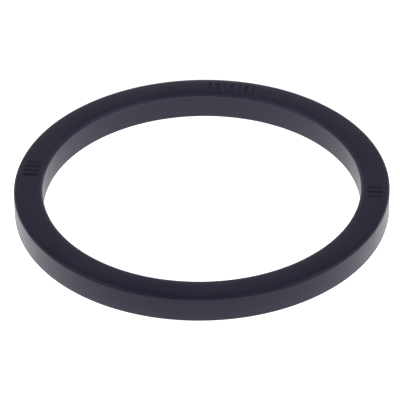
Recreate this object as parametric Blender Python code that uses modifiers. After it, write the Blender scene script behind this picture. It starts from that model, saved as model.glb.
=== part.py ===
"""Group head gasket: the flat rubber ring that seals a coffee machine's filter holder to its group head.

The ring is one moulding of nearly square section. Its four edges are slightly rounded. Its upper face is level
in the middle, falls a little towards both edges, and has three rows of short sunk bars. The ring lies on its
lower face, and the origin is the centre of the ring on that face.
"""

from math import cos, pi, radians, sin

import bmesh
import bpy
from mathutils import Matrix, Vector

# Driving sizes of the ring, in metres
OUTER_DIAMETER = 0.0710
WALL_WIDTH = 0.0055
HEIGHT = 0.0054
EDGE_RADIUS = 0.00045

# Crown of the upper face, in metres: its fall from the middle to the edges, and the width of the level middle
CROWN = 0.00013
LEVEL_WIDTH = 0.0015

# Sunk bars of the upper face, in metres
BAR_DEPTH = 0.0003
BAR_WIDTH = 0.0007
BAR_CORNER_RADIUS = 0.0002
BAR_PITCH = 0.0014
BAR_END_MARGIN = 0.0006

# Each row of bars: the angle of its middle from +X, in degrees, and how many bars it has
BAR_ROWS = ((169.3, 4), (79.2, 7), (354.2, 3))

# Fineness of the surfaces
RING_SEGMENTS = 160
EDGE_SEGMENTS = 4
CROWN_SEGMENTS = 3
BAR_CORNER_SEGMENTS = 3

# Points closer than this are one point, in metres
MERGE_DISTANCE = 0.000001

# Black rubber, with a trace of violet
RUBBER_COLOUR = (0.016, 0.011, 0.030, 1.0)
RUBBER_ROUGHNESS = 0.40

OUTER_RADIUS = OUTER_DIAMETER / 2
INNER_RADIUS = OUTER_RADIUS - WALL_WIDTH
MIDDLE_RADIUS = (OUTER_RADIUS + INNER_RADIUS) / 2
BAR_LENGTH = WALL_WIDTH - 2 * (EDGE_RADIUS + BAR_END_MARGIN)


def clear_scene():
    for item in list(bpy.data.objects):
        bpy.data.objects.remove(item, do_unlink=True)


def new_collection(name):
    collection = bpy.data.collections.new(name)
    bpy.context.scene.collection.children.link(collection)
    return collection


def black_rubber():
    material = bpy.data.materials.new("black_rubber")
    material.use_nodes = True
    shader = material.node_tree.nodes["Principled BSDF"]
    shader.inputs["Base Color"].default_value = RUBBER_COLOUR
    shader.inputs["Roughness"].default_value = RUBBER_ROUGHNESS
    shader.inputs["Metallic"].default_value = 0.0
    return material


def crown_fall(x):
    """How far the upper face has fallen at this radius. The fall grows with the square of the way to the edge."""
    way = abs(x - MIDDLE_RADIUS) - LEVEL_WIDTH / 2
    full_way = (WALL_WIDTH - LEVEL_WIDTH) / 2
    return CROWN * (max(way, 0.0) / full_way) ** 2


def crown_places():
    """Radii of the upper face's points between its two rounded edges, from the inner to the outer one."""
    start = LEVEL_WIDTH / 2
    width = WALL_WIDTH / 2 - EDGE_RADIUS - start
    outward = [start + width * step / CROWN_SEGMENTS for step in range(CROWN_SEGMENTS)]
    return [MIDDLE_RADIUS - way for way in reversed(outward)] + [MIDDLE_RADIUS + way for way in outward]


def section_points():
    """Outline of the section in the XZ plane, down its outer side, up its inner side and across its upper face."""
    outer = OUTER_RADIUS - EDGE_RADIUS
    inner = INNER_RADIUS + EDGE_RADIUS
    top = HEIGHT - EDGE_RADIUS
    bottom = EDGE_RADIUS
    corners = ((outer, top, 90), (outer, bottom, 0), (inner, bottom, -90), (inner, top, -180))
    points = []
    for x, z, start in corners:
        for step in range(EDGE_SEGMENTS + 1):
            angle = radians(start - 90 * step / EDGE_SEGMENTS)
            points.append(Vector((x + EDGE_RADIUS * cos(angle), 0.0, z + EDGE_RADIUS * sin(angle))))
    points += [Vector((x, 0.0, HEIGHT)) for x in crown_places()]
    for point in points:
        if point.z > HEIGHT / 2:
            point.z -= crown_fall(point.x)
    return points


def make_ring(collection):
    """The rounded square section, turned once round the Z axis."""
    mesh = bpy.data.meshes.new("gasket_ring")
    section = bmesh.new()
    corners = [section.verts.new(point) for point in section_points()]
    for index, corner in enumerate(corners):
        section.edges.new((corner, corners[(index + 1) % len(corners)]))
    section.to_mesh(mesh)
    section.free()

    ring = bpy.data.objects.new("gasket_ring", mesh)
    collection.objects.link(ring)
    turn = ring.modifiers.new("turn", "SCREW")
    turn.axis = "Z"
    turn.angle = 2 * pi
    turn.steps = RING_SEGMENTS
    turn.render_steps = RING_SEGMENTS
    turn.use_merge_vertices = True
    turn.merge_threshold = MERGE_DISTANCE
    turn.use_smooth_shade = True
    mesh.materials.append(black_rubber())
    return ring


def make_bar_cutter(name, angle, collection):
    """A small block with rounded corners that sinks one bar, along the radius at this angle."""
    cutter = bmesh.new()
    bmesh.ops.create_cube(cutter, size=1.0)
    bmesh.ops.scale(cutter, vec=(BAR_LENGTH, BAR_WIDTH, 2 * BAR_DEPTH), verts=cutter.verts)
    upright = [edge for edge in cutter.edges if abs(edge.verts[0].co.z - edge.verts[1].co.z) > BAR_DEPTH]
    bmesh.ops.bevel(
        cutter,
        geom=upright,
        offset=BAR_CORNER_RADIUS,
        segments=BAR_CORNER_SEGMENTS,
        profile=0.5,
        affect="EDGES",
        clamp_overlap=True,
    )
    bmesh.ops.transform(
        cutter,
        matrix=Matrix.Rotation(angle, 4, "Z") @ Matrix.Translation((MIDDLE_RADIUS, 0.0, HEIGHT)),
        verts=cutter.verts,
    )
    mesh = bpy.data.meshes.new(name)
    cutter.to_mesh(mesh)
    cutter.free()

    block = bpy.data.objects.new(name, mesh)
    block.hide_render = True
    block.display_type = "WIRE"
    collection.objects.link(block)


def make_bar_cutters(collection):
    for row, (middle, count) in enumerate(BAR_ROWS):
        for place in range(count):
            along = (place - (count - 1) / 2) * BAR_PITCH
            angle = radians(middle) + along / MIDDLE_RADIUS
            make_bar_cutter(f"bar_cutter_{row}_{place}", angle, collection)


def sink_bars(ring, cutters):
    cut = ring.modifiers.new("sink_bars", "BOOLEAN")
    cut.operation = "DIFFERENCE"
    cut.solver = "EXACT"
    cut.operand_type = "COLLECTION"
    cut.collection = cutters


def main():
    clear_scene()
    parts = new_collection("group_head_gasket")
    cutters = new_collection("cutters")
    ring = make_ring(parts)
    make_bar_cutters(cutters)
    sink_bars(ring, cutters)


main()
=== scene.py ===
"""Group head gasket: the looks of a moulded black rubber ring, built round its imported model.

Run as a script, it makes the stage with its camera first, then the ring with its sunk bars and its rubber.
"""

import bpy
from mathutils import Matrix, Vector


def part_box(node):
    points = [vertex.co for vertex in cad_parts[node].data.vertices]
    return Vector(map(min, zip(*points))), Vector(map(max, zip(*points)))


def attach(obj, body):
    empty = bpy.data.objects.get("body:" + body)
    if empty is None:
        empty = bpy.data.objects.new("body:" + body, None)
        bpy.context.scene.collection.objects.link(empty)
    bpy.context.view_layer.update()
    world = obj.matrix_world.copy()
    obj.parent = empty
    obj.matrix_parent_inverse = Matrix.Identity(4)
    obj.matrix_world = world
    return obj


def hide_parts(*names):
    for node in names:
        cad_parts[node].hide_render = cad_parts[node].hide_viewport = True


bl_info = {
    "name": "Group head gasket",
    "version": (1, 0, 0),
    "blender": (4, 5, 0),
    "location": "3D View > Sidebar > Gasket",
    "description": "Makes a moulded rubber ring with its surface finish, and a plain stage for it",
    "category": "Add Mesh",
}

from math import cos, radians, sin

import bpy
from mathutils import Matrix, Vector

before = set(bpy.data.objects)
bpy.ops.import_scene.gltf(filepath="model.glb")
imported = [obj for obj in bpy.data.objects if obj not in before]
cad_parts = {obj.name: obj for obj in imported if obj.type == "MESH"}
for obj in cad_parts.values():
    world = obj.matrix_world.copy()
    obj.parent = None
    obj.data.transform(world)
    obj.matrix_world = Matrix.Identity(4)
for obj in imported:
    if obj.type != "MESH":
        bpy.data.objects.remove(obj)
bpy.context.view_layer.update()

# The ring's place and outer size, read from the frame, in metres
RING_LOW, RING_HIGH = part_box("gasket_ring")
OUTER_DIAMETER = RING_HIGH.x - RING_LOW.x
HEIGHT = RING_HIGH.z - RING_LOW.z

# One millimetre, in metres
MM = 0.001

# Width of the ring's section, and the radius of its middle circle
WALL_WIDTH = 5.5 * MM
MIDDLE_RADIUS = (OUTER_DIAMETER - WALL_WIDTH) / 2
INNER_RADIUS = MIDDLE_RADIUS - WALL_WIDTH / 2

# The three rows of sunk bars
ROWS = (1, 2, 3)

# Fineness of the rods that sink the bars: sides round a rod, and points along it
ROD_SIDES = 48
ROD_POINTS = 32

# A rod's ends thin by this many times the bar's depth, so that they come clear of the upper face
END_CLEARANCE = 1.2

# Edges that turn by more than this are shaded sharp
SHARP_ANGLE = radians(30.0)

# Shares of the ring's height between which the crown's fall sets in
CROWN_HEIGHTS = (0.5, 0.9)

# Height over which the swell of the faces sets in above the floor
RIPPLE_START = 0.5 * MM

# Distances between the features of the rubber's finer marks: orange peel, haze, mottle and turning marks
PEEL_SIZE = 1.1 * MM
HAZE_SIZE = 14.0 * MM
MOTTLE_SIZE = 1.3 * MM
TURNING_SIZE = 0.10 * MM

# Heights of the orange peel and of the turning marks
PEEL_HEIGHT = 0.010 * MM
TURNING_HEIGHT = 0.0015 * MM

# Fineness of the noise: broad marks have less detail than grain, haze and mottle
BROAD_DETAIL = 2.0
FINE_DETAIL = 3.0

# Levels of its noise between which the haze comes up
HAZE_LEVELS = (0.35, 0.65)

# Parts that haze and mottle have in the colour, and how much each of them changes the roughness
HAZE_SHARE = 0.7
MOTTLE_SHARE = 0.3
HAZE_ROUGHENING = 0.06
MOTTLE_ROUGHENING = 0.10

# Distance from the inner upper edge within which the rubber has the painted highlight's colour all over
RIM_HIGHLIGHT_CORE = 0.2 * MM

# Width of the camera's sensor, in millimetres, and the nearest and farthest distance that it sees
SENSOR_WIDTH = 36.0
NEAREST = 0.01
FARTHEST = 100.0

# Colour that the floor gives back, and the distances between which its far brightness sets in
FLOOR_GREY = (0.4, 0.4, 0.4, 1.0)
FAR_DISTANCES = (0.1, 0.4)

# Heights between which the studio changes from its low to its high brightness: 0 is level, 1 right overhead
SURROUND_HEIGHTS = (0.35, 0.80)

PAPER_WHITE = (1.0, 1.0, 1.0, 1.0)


# Node trees written as expressions


class Value:
    """One output of a node tree. Arithmetic on it adds Math nodes, or Vector Math nodes for a vector."""

    def __init__(self, nodes, socket):
        self.nodes = nodes
        self.socket = socket

    def math(self, operation, *others):
        operands = (self, *others)
        vector = any(isinstance(item, Value) and item.socket.type == "VECTOR" for item in operands)
        kind = "ShaderNodeVectorMath" if vector else "ShaderNodeMath"
        return self.nodes.add(kind, {"operation": operation}, dict(enumerate(operands)))

    def __add__(self, other):
        return self.math("ADD", other)

    def __sub__(self, other):
        return self.math("SUBTRACT", other)

    def __mul__(self, other):
        return self.math("MULTIPLY", other)

    def __truediv__(self, other):
        return self.math("DIVIDE", other)

    def __pow__(self, other):
        return self.math("POWER", other)

    def __radd__(self, other):
        return self.nodes.number(other).math("ADD", self)

    def __rsub__(self, other):
        return self.nodes.number(other).math("SUBTRACT", self)

    def __rmul__(self, other):
        return self.math("MULTIPLY", other)

    def __rtruediv__(self, other):
        return self.nodes.number(other).math("DIVIDE", self)

    def __neg__(self):
        return self.math("MULTIPLY", -1.0)

    def __abs__(self):
        return self.math("ABSOLUTE")

    def length(self):
        """The length of this vector."""
        return self.nodes.add("ShaderNodeVectorMath", {"operation": "LENGTH"}, {0: self}, "Value")

    def scaled(self, factor):
        """This vector, times a number."""
        values = {"Vector": self, "Scale": factor}
        return self.nodes.add("ShaderNodeVectorMath", {"operation": "SCALE"}, values)

    def rise(self, low, high, to_low=0.0, to_high=1.0):
        """A smooth step from to_low, where this value is low, to to_high, where it is high."""
        ends = {"Value": self, "From Min": low, "From Max": high, "To Min": to_low, "To Max": to_high}
        return self.nodes.add("ShaderNodeMapRange", {"interpolation_type": "SMOOTHSTEP"}, ends)


class Nodes:
    """A node tree, and the one method that adds a node to it."""

    def __init__(self, tree):
        self.tree = tree

    def add(self, kind, settings=None, values=None, output=0):
        node = self.tree.nodes.new(kind)
        for name, value in (settings or {}).items():
            setattr(node, name, value)
        for key, value in (values or {}).items():
            socket = node.inputs[key] if isinstance(key, int) else open_socket(node.inputs, key)
            for item in value if isinstance(value, list) else [value]:
                if isinstance(item, Value):
                    self.tree.links.new(item.socket, socket)
                else:
                    socket.default_value = item
        if not node.outputs:
            return None
        if isinstance(output, int):
            return Value(self, node.outputs[output])
        return Value(self, open_socket(node.outputs, output))

    def number(self, value):
        """A plain number as a value, for an expression that starts with one."""
        node = self.tree.nodes.new("ShaderNodeValue")
        node.outputs[0].default_value = value
        return Value(self, node.outputs[0])

    def mix(self, factor, first, second):
        """A colour between two colours."""
        colours = {"Factor": factor, "A": first, "B": second}
        return self.add("ShaderNodeMix", {"data_type": "RGBA"}, colours, "Result")


def open_socket(sockets, name):
    """The socket of that name which the node's settings leave in use."""
    return next(socket for socket in sockets if socket.enabled and name in (socket.name, socket.identifier))


# Sizes and colours that a user would change


class GasketRingSizes(bpy.types.PropertyGroup):
    """Sizes of the ring and of the detail that its mould leaves on it."""

    outer_diameter: bpy.props.FloatProperty(
        name="Outer diameter",
        description="Diameter over the outer wall",
        default=OUTER_DIAMETER,
        unit="LENGTH",
        subtype="DISTANCE",
    )
    wall_width: bpy.props.FloatProperty(
        name="Wall width",
        description="Width of the ring's section, from its hole to its outer wall",
        default=WALL_WIDTH,
        unit="LENGTH",
        subtype="DISTANCE",
    )
    height: bpy.props.FloatProperty(
        name="Height",
        description="Height of the ring as it lies",
        default=HEIGHT,
        unit="LENGTH",
        subtype="DISTANCE",
    )
    edge_radius: bpy.props.FloatProperty(
        name="Edge radius",
        description="Rounding of the four edges of the section",
        default=0.45 * MM,
        precision=5,
        unit="LENGTH",
        subtype="DISTANCE",
    )
    crown: bpy.props.FloatProperty(
        name="Crown",
        description="How far the upper face falls from its middle to its edges",
        default=0.13 * MM,
        precision=5,
        unit="LENGTH",
        subtype="DISTANCE",
    )
    level_width: bpy.props.FloatProperty(
        name="Level width",
        description="Width of the level middle of the upper face",
        default=1.5 * MM,
        unit="LENGTH",
        subtype="DISTANCE",
    )
    ripple_height: bpy.props.FloatProperty(
        name="Ripple height",
        description="How far the moulded faces swell and sink",
        default=0.012 * MM,
        precision=5,
        unit="LENGTH",
        subtype="DISTANCE",
    )
    ripple_length: bpy.props.FloatProperty(
        name="Ripple length",
        description="Distance from one swell of the moulded faces to the next",
        default=7.0 * MM,
        unit="LENGTH",
        subtype="DISTANCE",
    )
    ring_segments: bpy.props.IntProperty(
        name="Ring segments",
        description="Number of sections round the ring",
        default=720,
        min=24,
    )
    side_cuts: bpy.props.IntProperty(
        name="Side cuts",
        description="Number of extra points on each straight side of the section",
        default=7,
        min=1,
    )
    edge_points: bpy.props.IntProperty(
        name="Edge points",
        description="Number of points round each rounded edge of the section",
        default=8,
        min=2,
    )


class GasketBarSizes(bpy.types.PropertyGroup):
    """Sizes and places of the short bars that are sunk in the upper face."""

    length: bpy.props.FloatProperty(
        name="Bar length",
        description="Length of a bar, along the ring's radius",
        default=3.4 * MM,
        unit="LENGTH",
        subtype="DISTANCE",
    )
    pitch: bpy.props.FloatProperty(
        name="Bar pitch",
        description="Distance from one bar to the next, along the middle of the face",
        default=1.4 * MM,
        unit="LENGTH",
        subtype="DISTANCE",
    )
    wear: bpy.props.FloatProperty(
        name="Bar wear",
        description="The largest part of its depth that a bar has lost",
        default=0.35,
        min=0.0,
        max=0.9,
        subtype="FACTOR",
    )
    seed: bpy.props.IntProperty(
        name="Wear seed",
        description="Picks how the wear differs from bar to bar",
        default=4,
    )
    row_angles: bpy.props.FloatVectorProperty(
        name="Row angles",
        description="Angle of the middle of each row of bars, from the ring's +X side",
        default=(radians(169.3), radians(79.2), radians(354.2)),
        size=3,
        subtype="EULER",
    )
    row_counts: bpy.props.IntVectorProperty(
        name="Row counts",
        description="Number of bars in each row",
        default=(4, 7, 3),
        size=3,
        min=1,
    )
    row_widths: bpy.props.FloatVectorProperty(
        name="Row widths",
        description="Width of the bars of each row, where they meet the upper face",
        default=(0.80 * MM, 0.50 * MM, 0.70 * MM),
        size=3,
        precision=5,
        unit="LENGTH",
        subtype="XYZ",
    )
    row_depths: bpy.props.FloatVectorProperty(
        name="Row depths",
        description="Depth of the deepest bars of each row",
        default=(0.34 * MM, 0.22 * MM, 0.24 * MM),
        size=3,
        precision=5,
        unit="LENGTH",
        subtype="XYZ",
    )
    run_out: bpy.props.FloatProperty(
        name="Run-out power",
        description="How late the bars run out towards their ends. More keeps them deep for longer",
        default=8.0,
        min=1.0,
    )


class GasketRubber(bpy.types.PropertyGroup):
    """Colours and finish of the rubber."""

    colour: bpy.props.FloatVectorProperty(
        name="Rubber colour",
        description="Colour of the clean rubber",
        default=(0.0090, 0.0063, 0.0290),
        size=3,
        min=0.0,
        max=1.0,
        precision=4,
        subtype="COLOR",
    )
    bloom_colour: bpy.props.FloatVectorProperty(
        name="Bloom colour",
        description="Colour where a thin haze has come to the surface",
        default=(0.0135, 0.0105, 0.0340),
        size=3,
        min=0.0,
        max=1.0,
        precision=4,
        subtype="COLOR",
    )
    # Painted highlight: the paler colour given to the edge between upper face and hole
    rim_highlight_colour: bpy.props.FloatVectorProperty(
        name="Rim colour",
        description="Colour of the edge between upper face and hole, where the haze is thickest",
        default=(0.0280, 0.0238, 0.0560),
        size=3,
        min=0.0,
        max=1.0,
        precision=4,
        subtype="COLOR",
    )
    # Width of the painted highlight along that edge
    rim_highlight_width: bpy.props.FloatProperty(
        name="Rim width",
        description="How far from this edge the thickest haze ends",
        default=1.1 * MM,
        precision=5,
        unit="LENGTH",
        subtype="DISTANCE",
    )
    roughness: bpy.props.FloatProperty(
        name="Roughness",
        description="Roughness of the satin moulded faces",
        default=0.40,
        min=0.0,
        max=1.0,
        subtype="FACTOR",
    )
    refraction: bpy.props.FloatProperty(
        name="Index of refraction",
        description="Sets how strongly the rubber mirrors its surroundings",
        default=1.42,
        min=1.0,
    )
    grain_size: bpy.props.FloatProperty(
        name="Grain size",
        description="Size of the fine grain that the mould leaves",
        default=0.18 * MM,
        precision=5,
        unit="LENGTH",
        subtype="DISTANCE",
    )
    grain_height: bpy.props.FloatProperty(
        name="Grain height",
        description="Height of the fine grain",
        default=0.004 * MM,
        precision=6,
        unit="LENGTH",
        subtype="DISTANCE",
    )


class GasketStage(bpy.types.PropertyGroup):
    """Floor, light and camera."""

    floor_size: bpy.props.FloatProperty(
        name="Floor size",
        description="Side of the square floor",
        default=40.0,
        unit="LENGTH",
        subtype="DISTANCE",
    )
    floor_glow: bpy.props.FloatProperty(
        name="Floor glow",
        description="Brightness that the white floor has without the lamps",
        default=0.87,
        min=0.0,
    )
    band_glow: bpy.props.FloatProperty(
        name="Band glow",
        description="Extra brightness of the floor in a band from left to right under the object",
        default=0.86,
        min=0.0,
    )
    inner_glow: bpy.props.FloatProperty(
        name="Inner glow",
        description="The most that this band adds to the floor inside the ring",
        default=0.31,
        min=0.0,
    )
    band_middle: bpy.props.FloatProperty(
        name="Band middle",
        description="How far behind the object's centre the middle of the bright band lies",
        default=-2.4 * MM,
        unit="LENGTH",
        subtype="DISTANCE",
    )
    band_reach: bpy.props.FloatProperty(
        name="Band reach",
        description="Distance from the middle of the bright band to where it ends",
        default=42.5 * MM,
        unit="LENGTH",
        subtype="DISTANCE",
    )
    near_glow: bpy.props.FloatProperty(
        name="Near glow",
        description="Extra brightness of the floor at the foot of the ring's walls",
        default=0.28,
        min=0.0,
    )
    near_reach: bpy.props.FloatProperty(
        name="Near reach",
        description="Distance from the foot of a wall to where this extra brightness ends",
        default=5.0 * MM,
        unit="LENGTH",
        subtype="DISTANCE",
    )
    far_glow: bpy.props.FloatProperty(
        name="Far glow",
        description="Extra brightness of the floor far off, where the lamps don't reach",
        default=0.20,
        min=0.0,
    )
    light_tint: bpy.props.FloatVectorProperty(
        name="Light tint",
        description="Colour of the lamps, of the card and of the studio's light",
        default=(1.0, 0.92, 1.0),
        size=3,
        min=0.0,
        max=1.0,
        subtype="COLOR",
    )
    low_surround: bpy.props.FloatProperty(
        name="Low surround",
        description="Brightness of the studio near the floor",
        default=0.50,
        min=0.0,
    )
    high_surround: bpy.props.FloatProperty(
        name="High surround",
        description="Brightness of the studio overhead",
        default=0.12,
        min=0.0,
    )
    lamp_power: bpy.props.FloatProperty(
        name="Lamp power",
        description="Power of each of the two soft lamps overhead",
        default=3.0,
        min=0.0,
        unit="POWER",
    )
    lamp_width: bpy.props.FloatProperty(
        name="Lamp width",
        description="Width of each lamp, from left to right",
        default=1.0,
        unit="LENGTH",
        subtype="DISTANCE",
    )
    lamp_depth: bpy.props.FloatProperty(
        name="Lamp depth",
        description="Depth of each lamp, from front to back",
        default=0.7,
        unit="LENGTH",
        subtype="DISTANCE",
    )
    lamp_gap: bpy.props.FloatProperty(
        name="Lamp gap",
        description="Gap between the two lamps, right above the object",
        default=0.4,
        unit="LENGTH",
        subtype="DISTANCE",
    )
    lamp_height: bpy.props.FloatProperty(
        name="Lamp height",
        description="Height of the lamps above the floor",
        default=0.8,
        unit="LENGTH",
        subtype="DISTANCE",
    )
    card_power: bpy.props.FloatProperty(
        name="Card power",
        description="Power of the low soft card that stands behind the object",
        default=0.35,
        min=0.0,
        unit="POWER",
    )
    card_width: bpy.props.FloatProperty(
        name="Card width",
        description="Width of the card behind the object",
        default=0.8,
        unit="LENGTH",
        subtype="DISTANCE",
    )
    card_height: bpy.props.FloatProperty(
        name="Card height",
        description="Height of the card behind the object",
        default=0.12,
        unit="LENGTH",
        subtype="DISTANCE",
    )
    card_distance: bpy.props.FloatProperty(
        name="Card distance",
        description="Distance of the card behind the object's centre",
        default=0.45,
        unit="LENGTH",
        subtype="DISTANCE",
    )
    camera_distance: bpy.props.FloatProperty(
        name="Camera distance",
        description="Distance from the camera to the point that it looks at",
        default=0.7775,
        unit="LENGTH",
        subtype="DISTANCE",
    )
    camera_height: bpy.props.FloatProperty(
        name="Camera angle",
        description="Angle of the camera above the floor",
        default=radians(36.02),
        subtype="ANGLE",
    )
    camera_roll: bpy.props.FloatProperty(
        name="Camera roll",
        description="Turn of the camera about its line of sight",
        default=radians(-0.912),
        subtype="ANGLE",
    )
    camera_lens: bpy.props.FloatProperty(
        name="Camera lens",
        description="Focal length, in millimetres, on a sensor 36 mm wide",
        default=369.4,
    )
    camera_aim: bpy.props.FloatVectorProperty(
        name="Camera aim",
        description="Point that the camera looks at",
        default=(-0.36 * MM, 0.0, 1.74 * MM),
        size=3,
        precision=5,
        unit="LENGTH",
        subtype="XYZ",
    )


# The ring


def ring_tree():
    """A rounded section swept round a circle, with rows of bars sunk in its upper face."""
    tree = bpy.data.node_groups.new("moulded_ring", "GeometryNodeTree")
    lengths = ("Outer Radius", "Wall Width", "Height", "Edge Radius", "Crown", "Level Width")
    ripple = ("Ripple Height", "Ripple Length")
    bars = ("Bar Length", "Bar Pitch", "Bar Wear", "Run-out Power")
    rows = tuple(f"Row {name} {row}" for row in ROWS for name in ("Angle", "Width", "Depth"))
    row_counts = tuple(f"Row Count {row}" for row in ROWS)
    fineness = ("Ring Segments", "Side Cuts", "Edge Points")
    for name in lengths + ripple + bars + rows:
        tree.interface.new_socket(name, in_out="INPUT", socket_type="NodeSocketFloat")
    for name in row_counts + fineness + ("Seed",):
        tree.interface.new_socket(name, in_out="INPUT", socket_type="NodeSocketInt")
    tree.interface.new_socket("Material", in_out="INPUT", socket_type="NodeSocketMaterial")
    tree.interface.new_socket("Geometry", in_out="OUTPUT", socket_type="NodeSocketGeometry")

    nodes = Nodes(tree)
    group = tree.nodes.new("NodeGroupInput")
    given = {socket.name: Value(nodes, socket) for socket in group.outputs if socket.name}
    middle_radius = given["Outer Radius"] - given["Wall Width"] * 0.5

    ring = swept_section(nodes, given, middle_radius)
    ring = crowned(nodes, ring, given, middle_radius)
    ring = rippled(nodes, ring, given)
    cutters = [bar_row(nodes, given, middle_radius, row) for row in ROWS]
    ring = nodes.add(
        "GeometryNodeMeshBoolean",
        {"operation": "DIFFERENCE", "solver": "MANIFOLD"},
        {"Mesh 1": ring, "Mesh 2": cutters},
        "Mesh",
    )
    ring = nodes.add("GeometryNodeSetShadeSmooth", None, {"Geometry": ring, "Shade Smooth": True})
    sharp = nodes.add("GeometryNodeInputMeshEdgeAngle", None, None, "Unsigned Angle")
    sharp = sharp.math("GREATER_THAN", SHARP_ANGLE)
    ring = nodes.add(
        "GeometryNodeSetShadeSmooth",
        {"domain": "EDGE"},
        {"Geometry": ring, "Selection": sharp, "Shade Smooth": False},
    )
    ring = nodes.add("GeometryNodeRealizeInstances", None, {"Geometry": ring})
    ring = nodes.add("GeometryNodeSetMaterial", None, {"Geometry": ring, "Material": given["Material"]})
    nodes.add("NodeGroupOutput", None, {"Geometry": ring})
    return tree


def swept_section(nodes, given, middle_radius):
    """The section, a rectangle with rounded corners, carried once round the ring's middle circle."""
    size = {"Width": given["Wall Width"], "Height": given["Height"]}
    section = nodes.add("GeometryNodeCurvePrimitiveQuadrilateral", {"mode": "RECTANGLE"}, size)
    section = nodes.add("GeometryNodeSubdivideCurve", None, {"Curve": section, "Cuts": given["Side Cuts"]})
    # Only the four corners are rounded, and not the extra points between them
    index = nodes.add("GeometryNodeInputIndex")
    corner = index.math("MODULO", given["Side Cuts"] + 1.0).math("LESS_THAN", 0.5)
    section = nodes.add(
        "GeometryNodeFilletCurve",
        {"mode": "POLY"},
        {"Curve": section, "Radius": corner * given["Edge Radius"], "Count": given["Edge Points"]},
    )
    circle = nodes.add(
        "GeometryNodeCurvePrimitiveCircle",
        {"mode": "RADIUS"},
        {"Resolution": given["Ring Segments"], "Radius": middle_radius},
    )
    circle = nodes.add("GeometryNodeSetCurveNormal", {"mode": "Z_UP"}, {"Curve": circle})
    ring = nodes.add("GeometryNodeCurveToMesh", None, {"Curve": circle, "Profile Curve": section})
    lift = nodes.add("ShaderNodeCombineXYZ", None, {"Z": given["Height"] * 0.5})
    return nodes.add("GeometryNodeSetPosition", None, {"Geometry": ring, "Offset": lift})


def crowned(nodes, ring, given, middle_radius):
    """The upper face made a little convex: the moulding falls away towards both of its edges."""
    position = nodes.add("GeometryNodeInputPosition")
    height = nodes.add("ShaderNodeSeparateXYZ", None, {"Vector": position}, "Z")
    level = nodes.add("ShaderNodeVectorMath", {"operation": "MULTIPLY"}, {0: position, 1: (1.0, 1.0, 0.0)})
    way = abs(level.length() - middle_radius) - given["Level Width"] * 0.5
    full_way = (given["Wall Width"] - given["Level Width"]) * 0.5
    share = way.math("MAXIMUM", 0.0) / full_way
    upper = (height / given["Height"]).rise(*CROWN_HEIGHTS)
    fall = nodes.add("ShaderNodeCombineXYZ", None, {"Z": -given["Crown"] * share * share * upper})
    return nodes.add("GeometryNodeSetPosition", None, {"Geometry": ring, "Offset": fall})


def rippled(nodes, ring, given):
    """The faces moved in and out a little along their normals. The lowest points stay on the floor."""
    position = nodes.add("GeometryNodeInputPosition")
    normal = nodes.add("GeometryNodeInputNormal", None, None, "Normal")
    height = nodes.add("ShaderNodeSeparateXYZ", None, {"Vector": position}, "Z")
    noise = nodes.add(
        "ShaderNodeTexNoise",
        {"noise_dimensions": "3D"},
        {"Vector": position, "Scale": 1.0 / given["Ripple Length"], "Detail": BROAD_DETAIL},
    )
    free = height.rise(0.0, RIPPLE_START)
    swell = (noise - 0.5) * 2.0 * given["Ripple Height"] * free
    return nodes.add("GeometryNodeSetPosition", None, {"Geometry": ring, "Offset": normal.scaled(swell)})


def bar_row(nodes, given, middle_radius, row):
    """Rods that sink one row of round-bottomed bars along the ring's radius. Their ends run out."""
    angle, count, width, depth = (given[f"Row {name} {row}"] for name in ("Angle", "Count", "Width", "Depth"))
    spread = nodes.add("GeometryNodePoints", None, {"Count": count})
    index = nodes.add("GeometryNodeInputIndex")
    place = (index - (count - 1.0) * 0.5) * given["Bar Pitch"]
    turn = angle + place / middle_radius
    # The cutting rod's radius and the height of its axis give the bar its width and depth
    half_width = width * 0.5
    radius = (half_width * half_width + depth * depth) / (depth * 2.0)
    worn = nodes.add(
        "FunctionNodeRandomValue",
        {"data_type": "FLOAT"},
        {"Min": 0.0, "Max": given["Bar Wear"], "ID": index, "Seed": given["Seed"]},
        "Value",
    )
    axis_height = given["Height"] - depth * (1.0 - worn) + radius
    spot = nodes.add(
        "ShaderNodeCombineXYZ",
        None,
        {
            "X": turn.math("COSINE") * middle_radius,
            "Y": turn.math("SINE") * middle_radius,
            "Z": axis_height,
        },
    )
    spread = nodes.add("GeometryNodeSetPosition", None, {"Geometry": spread, "Position": spot})
    half = given["Bar Length"] * 0.5
    start = nodes.add("ShaderNodeCombineXYZ", None, {"X": -half})
    end = nodes.add("ShaderNodeCombineXYZ", None, {"X": half})
    line = nodes.add("GeometryNodeCurvePrimitiveLine", {"mode": "POINTS"}, {"Start": start, "End": end})
    line = nodes.add("GeometryNodeResampleCurve", None, {"Curve": line, "Count": ROD_POINTS})
    along = nodes.add("GeometryNodeSplineParameter", None, None, "Factor")
    run_out = abs(along * 2.0 - 1.0) ** given["Run-out Power"] * depth * END_CLEARANCE
    line = nodes.add("GeometryNodeSetCurveRadius", None, {"Curve": line, "Radius": 1.0 - run_out / radius})
    outline = nodes.add(
        "GeometryNodeCurvePrimitiveCircle",
        {"mode": "RADIUS"},
        {"Resolution": ROD_SIDES, "Radius": radius},
    )
    scale = nodes.add("GeometryNodeInputRadius")
    rod = nodes.add(
        "GeometryNodeCurveToMesh",
        None,
        {"Curve": line, "Profile Curve": outline, "Scale": scale, "Fill Caps": True},
    )
    rotation = nodes.add("ShaderNodeCombineXYZ", None, {"Z": turn})
    rotation = nodes.add("FunctionNodeEulerToRotation", None, {"Euler": rotation})
    row = nodes.add(
        "GeometryNodeInstanceOnPoints", None, {"Points": spread, "Instance": rod, "Rotation": rotation}
    )
    return nodes.add("GeometryNodeRealizeInstances", None, {"Geometry": row})


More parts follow.
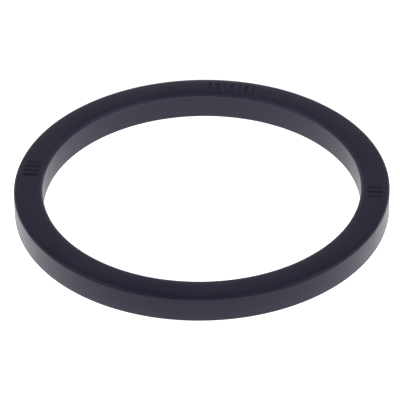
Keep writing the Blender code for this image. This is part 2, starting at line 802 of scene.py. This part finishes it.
def rubber(look):
    """Black rubber with a satin face: fine grain, faint turning marks of the mould and a little haze, and a
    painted highlight on the inner upper edge.
    """
    material = bpy.data.materials.new("black_rubber")
    material.use_nodes = True
    material.node_tree.nodes.clear()
    nodes = Nodes(material.node_tree)

    position = nodes.add("ShaderNodeTexCoord", None, None, "Object")
    x = nodes.add("ShaderNodeSeparateXYZ", None, {"Vector": position}, "X")
    y = nodes.add("ShaderNodeSeparateXYZ", None, {"Vector": position}, "Y")
    z = nodes.add("ShaderNodeSeparateXYZ", None, {"Vector": position}, "Z")
    radius = (x * x + y * y) ** 0.5

    def noise(size, detail, vector=position):
        """Noise about 0.5 whose features are that far apart."""
        return nodes.add(
            "ShaderNodeTexNoise",
            {"noise_dimensions": "3D"},
            {"Vector": vector, "Scale": 1.0 / size, "Detail": detail},
        )

    grain = noise(look.grain_size, FINE_DETAIL)
    orange_peel = noise(PEEL_SIZE, BROAD_DETAIL)
    haze = noise(HAZE_SIZE, FINE_DETAIL).rise(*HAZE_LEVELS)
    mottle = noise(MOTTLE_SIZE, FINE_DETAIL)
    # The mould was turned, so its fine marks run round the ring
    section_place = nodes.add("ShaderNodeCombineXYZ", None, {"X": radius, "Y": z})
    turning = noise(TURNING_SIZE, BROAD_DETAIL, section_place)

    height = grain * look.grain_height + orange_peel * PEEL_HEIGHT + turning * TURNING_HEIGHT
    bump = nodes.add("ShaderNodeBump", None, {"Strength": 1.0, "Distance": 1.0, "Height": height})
    bloom = haze * HAZE_SHARE + mottle * MOTTLE_SHARE
    colour = nodes.mix(bloom, (*look.colour, 1.0), (*look.bloom_colour, 1.0))
    # A painted highlight: the rounded edge between the upper face and the hole is coloured paler
    across = radius - INNER_RADIUS
    below = z - HEIGHT
    rim_highlight = ((across * across + below * below) ** 0.5).rise(look.rim_highlight_width, RIM_HIGHLIGHT_CORE)
    colour = nodes.mix(rim_highlight, colour, (*look.rim_highlight_colour, 1.0))
    roughness = look.roughness + (haze - 0.5) * HAZE_ROUGHENING + (mottle - 0.5) * MOTTLE_ROUGHENING
    shader = nodes.add(
        "ShaderNodeBsdfPrincipled",
        None,
        {"Base Color": colour, "Roughness": roughness, "Normal": bump, "IOR": look.refraction},
    )
    nodes.add("ShaderNodeOutputMaterial", None, {"Surface": shader})
    return material


def plain_mesh(obj, name):
    """A new object with the evaluated mesh of this one, which is then removed."""
    graph = bpy.context.evaluated_depsgraph_get()
    mesh = bpy.data.meshes.new_from_object(obj.evaluated_get(graph))
    mesh.name = name
    piece = bpy.data.objects.new(name, mesh)
    bpy.context.scene.collection.objects.link(piece)
    bpy.data.objects.remove(obj)
    return piece


class GASKET_OT_make_ring(bpy.types.Operator):
    """Make the moulded ring with its sunk bars and its rubber"""

    bl_idname = "gasket.make_ring"
    bl_label = "Make ring"

    def execute(self, context):
        ring = context.scene.gasket_ring
        bars = context.scene.gasket_bars
        tree = ring_tree()
        base = bpy.data.objects.new("ring_base", bpy.data.meshes.new("ring_base"))
        context.scene.collection.objects.link(base)
        sweep = base.modifiers.new("moulded_ring", "NODES")
        sweep.node_group = tree
        inputs = {
            "Outer Radius": ring.outer_diameter / 2,
            "Wall Width": ring.wall_width,
            "Height": ring.height,
            "Edge Radius": ring.edge_radius,
            "Crown": ring.crown,
            "Level Width": ring.level_width,
            "Ripple Height": ring.ripple_height,
            "Ripple Length": ring.ripple_length,
            "Bar Length": bars.length,
            "Bar Pitch": bars.pitch,
            "Bar Wear": bars.wear,
            "Run-out Power": bars.run_out,
            "Seed": bars.seed,
            "Ring Segments": ring.ring_segments,
            "Side Cuts": ring.side_cuts,
            "Edge Points": ring.edge_points,
            "Material": rubber(context.scene.gasket_rubber),
        }
        for place, row in enumerate(ROWS):
            inputs[f"Row Angle {row}"] = bars.row_angles[place]
            inputs[f"Row Count {row}"] = bars.row_counts[place]
            inputs[f"Row Width {row}"] = bars.row_widths[place]
            inputs[f"Row Depth {row}"] = bars.row_depths[place]
        for item in tree.interface.items_tree:
            if item.in_out == "INPUT":
                sweep[item.identifier] = inputs[item.name]
        piece = plain_mesh(base, "moulded_ring")
        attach(piece, "root")
        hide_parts("gasket_ring")
        return {"FINISHED"}


# The stage


def make_camera(stage):
    """A long lens on the object, at the photograph's angle."""
    camera = bpy.data.objects.new("camera", bpy.data.cameras.new("camera"))
    bpy.context.scene.collection.objects.link(camera)
    camera.data.sensor_width = SENSOR_WIDTH
    camera.data.lens = stage.camera_lens
    camera.data.clip_start = NEAREST
    camera.data.clip_end = FARTHEST
    back = Vector((0.0, -cos(stage.camera_height), sin(stage.camera_height)))
    aim = Vector(stage.camera_aim)
    place = back * stage.camera_distance
    sight = aim - place
    turn = sight.to_track_quat("-Z", "Y").to_matrix().to_4x4()
    camera.matrix_world = Matrix.Translation(place) @ turn @ Matrix.Rotation(stage.camera_roll, 4, "Z")
    bpy.context.scene.camera = camera


def make_floor(stage):
    """A white floor that glows as paper white, with painted light on it: a bright band from left to right
    under the object, more at the foot of the walls and far off, and a painted shadow inside the ring.
    """
    half = stage.floor_size / 2
    mesh = bpy.data.meshes.new("floor")
    corners = [(-half, -half, 0), (half, -half, 0), (half, half, 0), (-half, half, 0)]
    mesh.from_pydata(corners, [], [(0, 1, 2, 3)])
    floor = bpy.data.objects.new("floor", mesh)
    bpy.context.scene.collection.objects.link(floor)
    material = bpy.data.materials.new("white_floor")
    material.use_nodes = True
    material.node_tree.nodes.clear()
    nodes = Nodes(material.node_tree)
    position = nodes.add("ShaderNodeTexCoord", None, None, "Object")
    x = nodes.add("ShaderNodeSeparateXYZ", None, {"Vector": position}, "X")
    y = nodes.add("ShaderNodeSeparateXYZ", None, {"Vector": position}, "Y")
    # Painted pool of light: the floor glows brighter in a band from left to right under the object
    band = abs(y - stage.band_middle).rise(stage.band_reach, 0.0) * stage.band_glow
    # Painted shadow: inside the ring the band's painted light is held lower, as if the ring kept part of it
    # off the floor
    away = (x * x + y * y) ** 0.5
    outside = away.math("GREATER_THAN", MIDDLE_RADIUS)
    band = band.math("MINIMUM", stage.inner_glow + outside * stage.band_glow)
    # Painted light on the floor far off, where the lamps don't reach
    far = away.rise(*FAR_DISTANCES) * stage.far_glow
    # Painted light at the foot of the walls, where a contact shadow would fall
    from_wall = abs(away - MIDDLE_RADIUS) - WALL_WIDTH / 2
    near = from_wall.rise(stage.near_reach, 0.0) * stage.near_glow
    bright = 1.0 + (band + far + near) / stage.floor_glow
    glow = nodes.add("ShaderNodeCombineColor", None, {"Red": bright, "Green": bright, "Blue": bright})
    shader = nodes.add(
        "ShaderNodeBsdfPrincipled",
        None,
        {
            "Base Color": FLOOR_GREY,
            "Roughness": 1.0,
            "Specular IOR Level": 0.0,
            "Emission Color": glow,
            "Emission Strength": stage.floor_glow,
        },
    )
    nodes.add("ShaderNodeOutputMaterial", None, {"Surface": shader})
    mesh.materials.append(material)


def make_surround(stage):
    """A dim, even studio for light and reflections, and plain white where the camera sees past the floor."""
    world = bpy.data.worlds.new("studio")
    bpy.context.scene.world = world
    world.use_nodes = True
    world.node_tree.nodes.clear()
    nodes = Nodes(world.node_tree)
    seen = nodes.add("ShaderNodeLightPath", None, None, "Is Camera Ray")
    direction = nodes.add("ShaderNodeTexCoord", None, None, "Generated")
    upward = nodes.add("ShaderNodeSeparateXYZ", None, {"Vector": direction}, "Z")
    studio = upward.rise(*SURROUND_HEIGHTS, stage.low_surround, stage.high_surround)
    strength = studio + seen * (1.0 - studio)
    colour = nodes.mix(seen, (*stage.light_tint, 1.0), PAPER_WHITE)
    background = nodes.add("ShaderNodeBackground", None, {"Color": colour, "Strength": strength})
    nodes.add("ShaderNodeOutputWorld", None, {"Surface": background})


def area_light(name, tint, power, width, height):
    """A rectangle of soft light that the camera doesn't see. It shines down until it is turned."""
    light = bpy.data.lights.new(name, "AREA")
    light.shape = "RECTANGLE"
    light.color = tint
    light.energy = power
    light.size = width
    light.size_y = height
    lamp = bpy.data.objects.new(name, light)
    lamp.visible_camera = False
    bpy.context.scene.collection.objects.link(lamp)
    return lamp


def make_lamps(stage):
    """Two wide soft lamps overhead, left and right. The ring's rounded edges mirror them."""
    reach = (stage.lamp_width + stage.lamp_gap) / 2
    for name, x in (("left_lamp", -reach), ("right_lamp", reach)):
        lamp = area_light(name, stage.light_tint, stage.lamp_power, stage.lamp_width, stage.lamp_depth)
        lamp.location = (x, 0.0, stage.lamp_height)


def make_card(stage):
    """A low card of soft light behind the object. The upper face mirrors it most where it slopes away."""
    card = area_light("soft_card", stage.light_tint, stage.card_power, stage.card_width, stage.card_height)
    card.location = (0.0, stage.card_distance, stage.card_height / 2)
    card.rotation_euler = (radians(-90.0), 0.0, 0.0)


class GASKET_OT_make_stage(bpy.types.Operator):
    """Make the camera, the white floor and the soft light"""

    bl_idname = "gasket.make_stage"
    bl_label = "Make stage"

    def execute(self, context):
        stage = context.scene.gasket_stage
        make_camera(stage)
        make_floor(stage)
        make_surround(stage)
        make_lamps(stage)
        make_card(stage)
        context.scene.view_settings.view_transform = "Standard"
        return {"FINISHED"}


class GASKET_PT_build(bpy.types.Panel):
    """The steps and their sizes, in the 3D view's sidebar"""

    bl_idname = "GASKET_PT_build"
    bl_label = "Group head gasket"
    bl_space_type = "VIEW_3D"
    bl_region_type = "UI"
    bl_category = "Gasket"

    def draw(self, context):
        steps = (
            (GASKET_OT_make_stage, context.scene.gasket_stage),
            (GASKET_OT_make_ring, context.scene.gasket_ring),
            (None, context.scene.gasket_bars),
            (None, context.scene.gasket_rubber),
        )
        for operator, group in steps:
            column = self.layout.column()
            for name in group.bl_rna.properties.keys():
                if name not in ("rna_type", "name"):
                    column.prop(group, name)
            if operator:
                column.operator(operator.bl_idname)


GROUPS = {
    "gasket_ring": GasketRingSizes,
    "gasket_bars": GasketBarSizes,
    "gasket_rubber": GasketRubber,
    "gasket_stage": GasketStage,
}
OPERATORS_AND_PANEL = (GASKET_OT_make_ring, GASKET_OT_make_stage, GASKET_PT_build)


def register():
    for item in (*GROUPS.values(), *OPERATORS_AND_PANEL):
        bpy.utils.register_class(item)
    for name, group in GROUPS.items():
        setattr(bpy.types.Scene, name, bpy.props.PointerProperty(type=group))


def unregister():
    for name in GROUPS:
        delattr(bpy.types.Scene, name)
    for item in reversed((*GROUPS.values(), *OPERATORS_AND_PANEL)):
        bpy.utils.unregister_class(item)


def main():
    register()
    bpy.ops.gasket.make_stage()
    bpy.ops.gasket.make_ring()


if __name__ == "__main__":
    main()
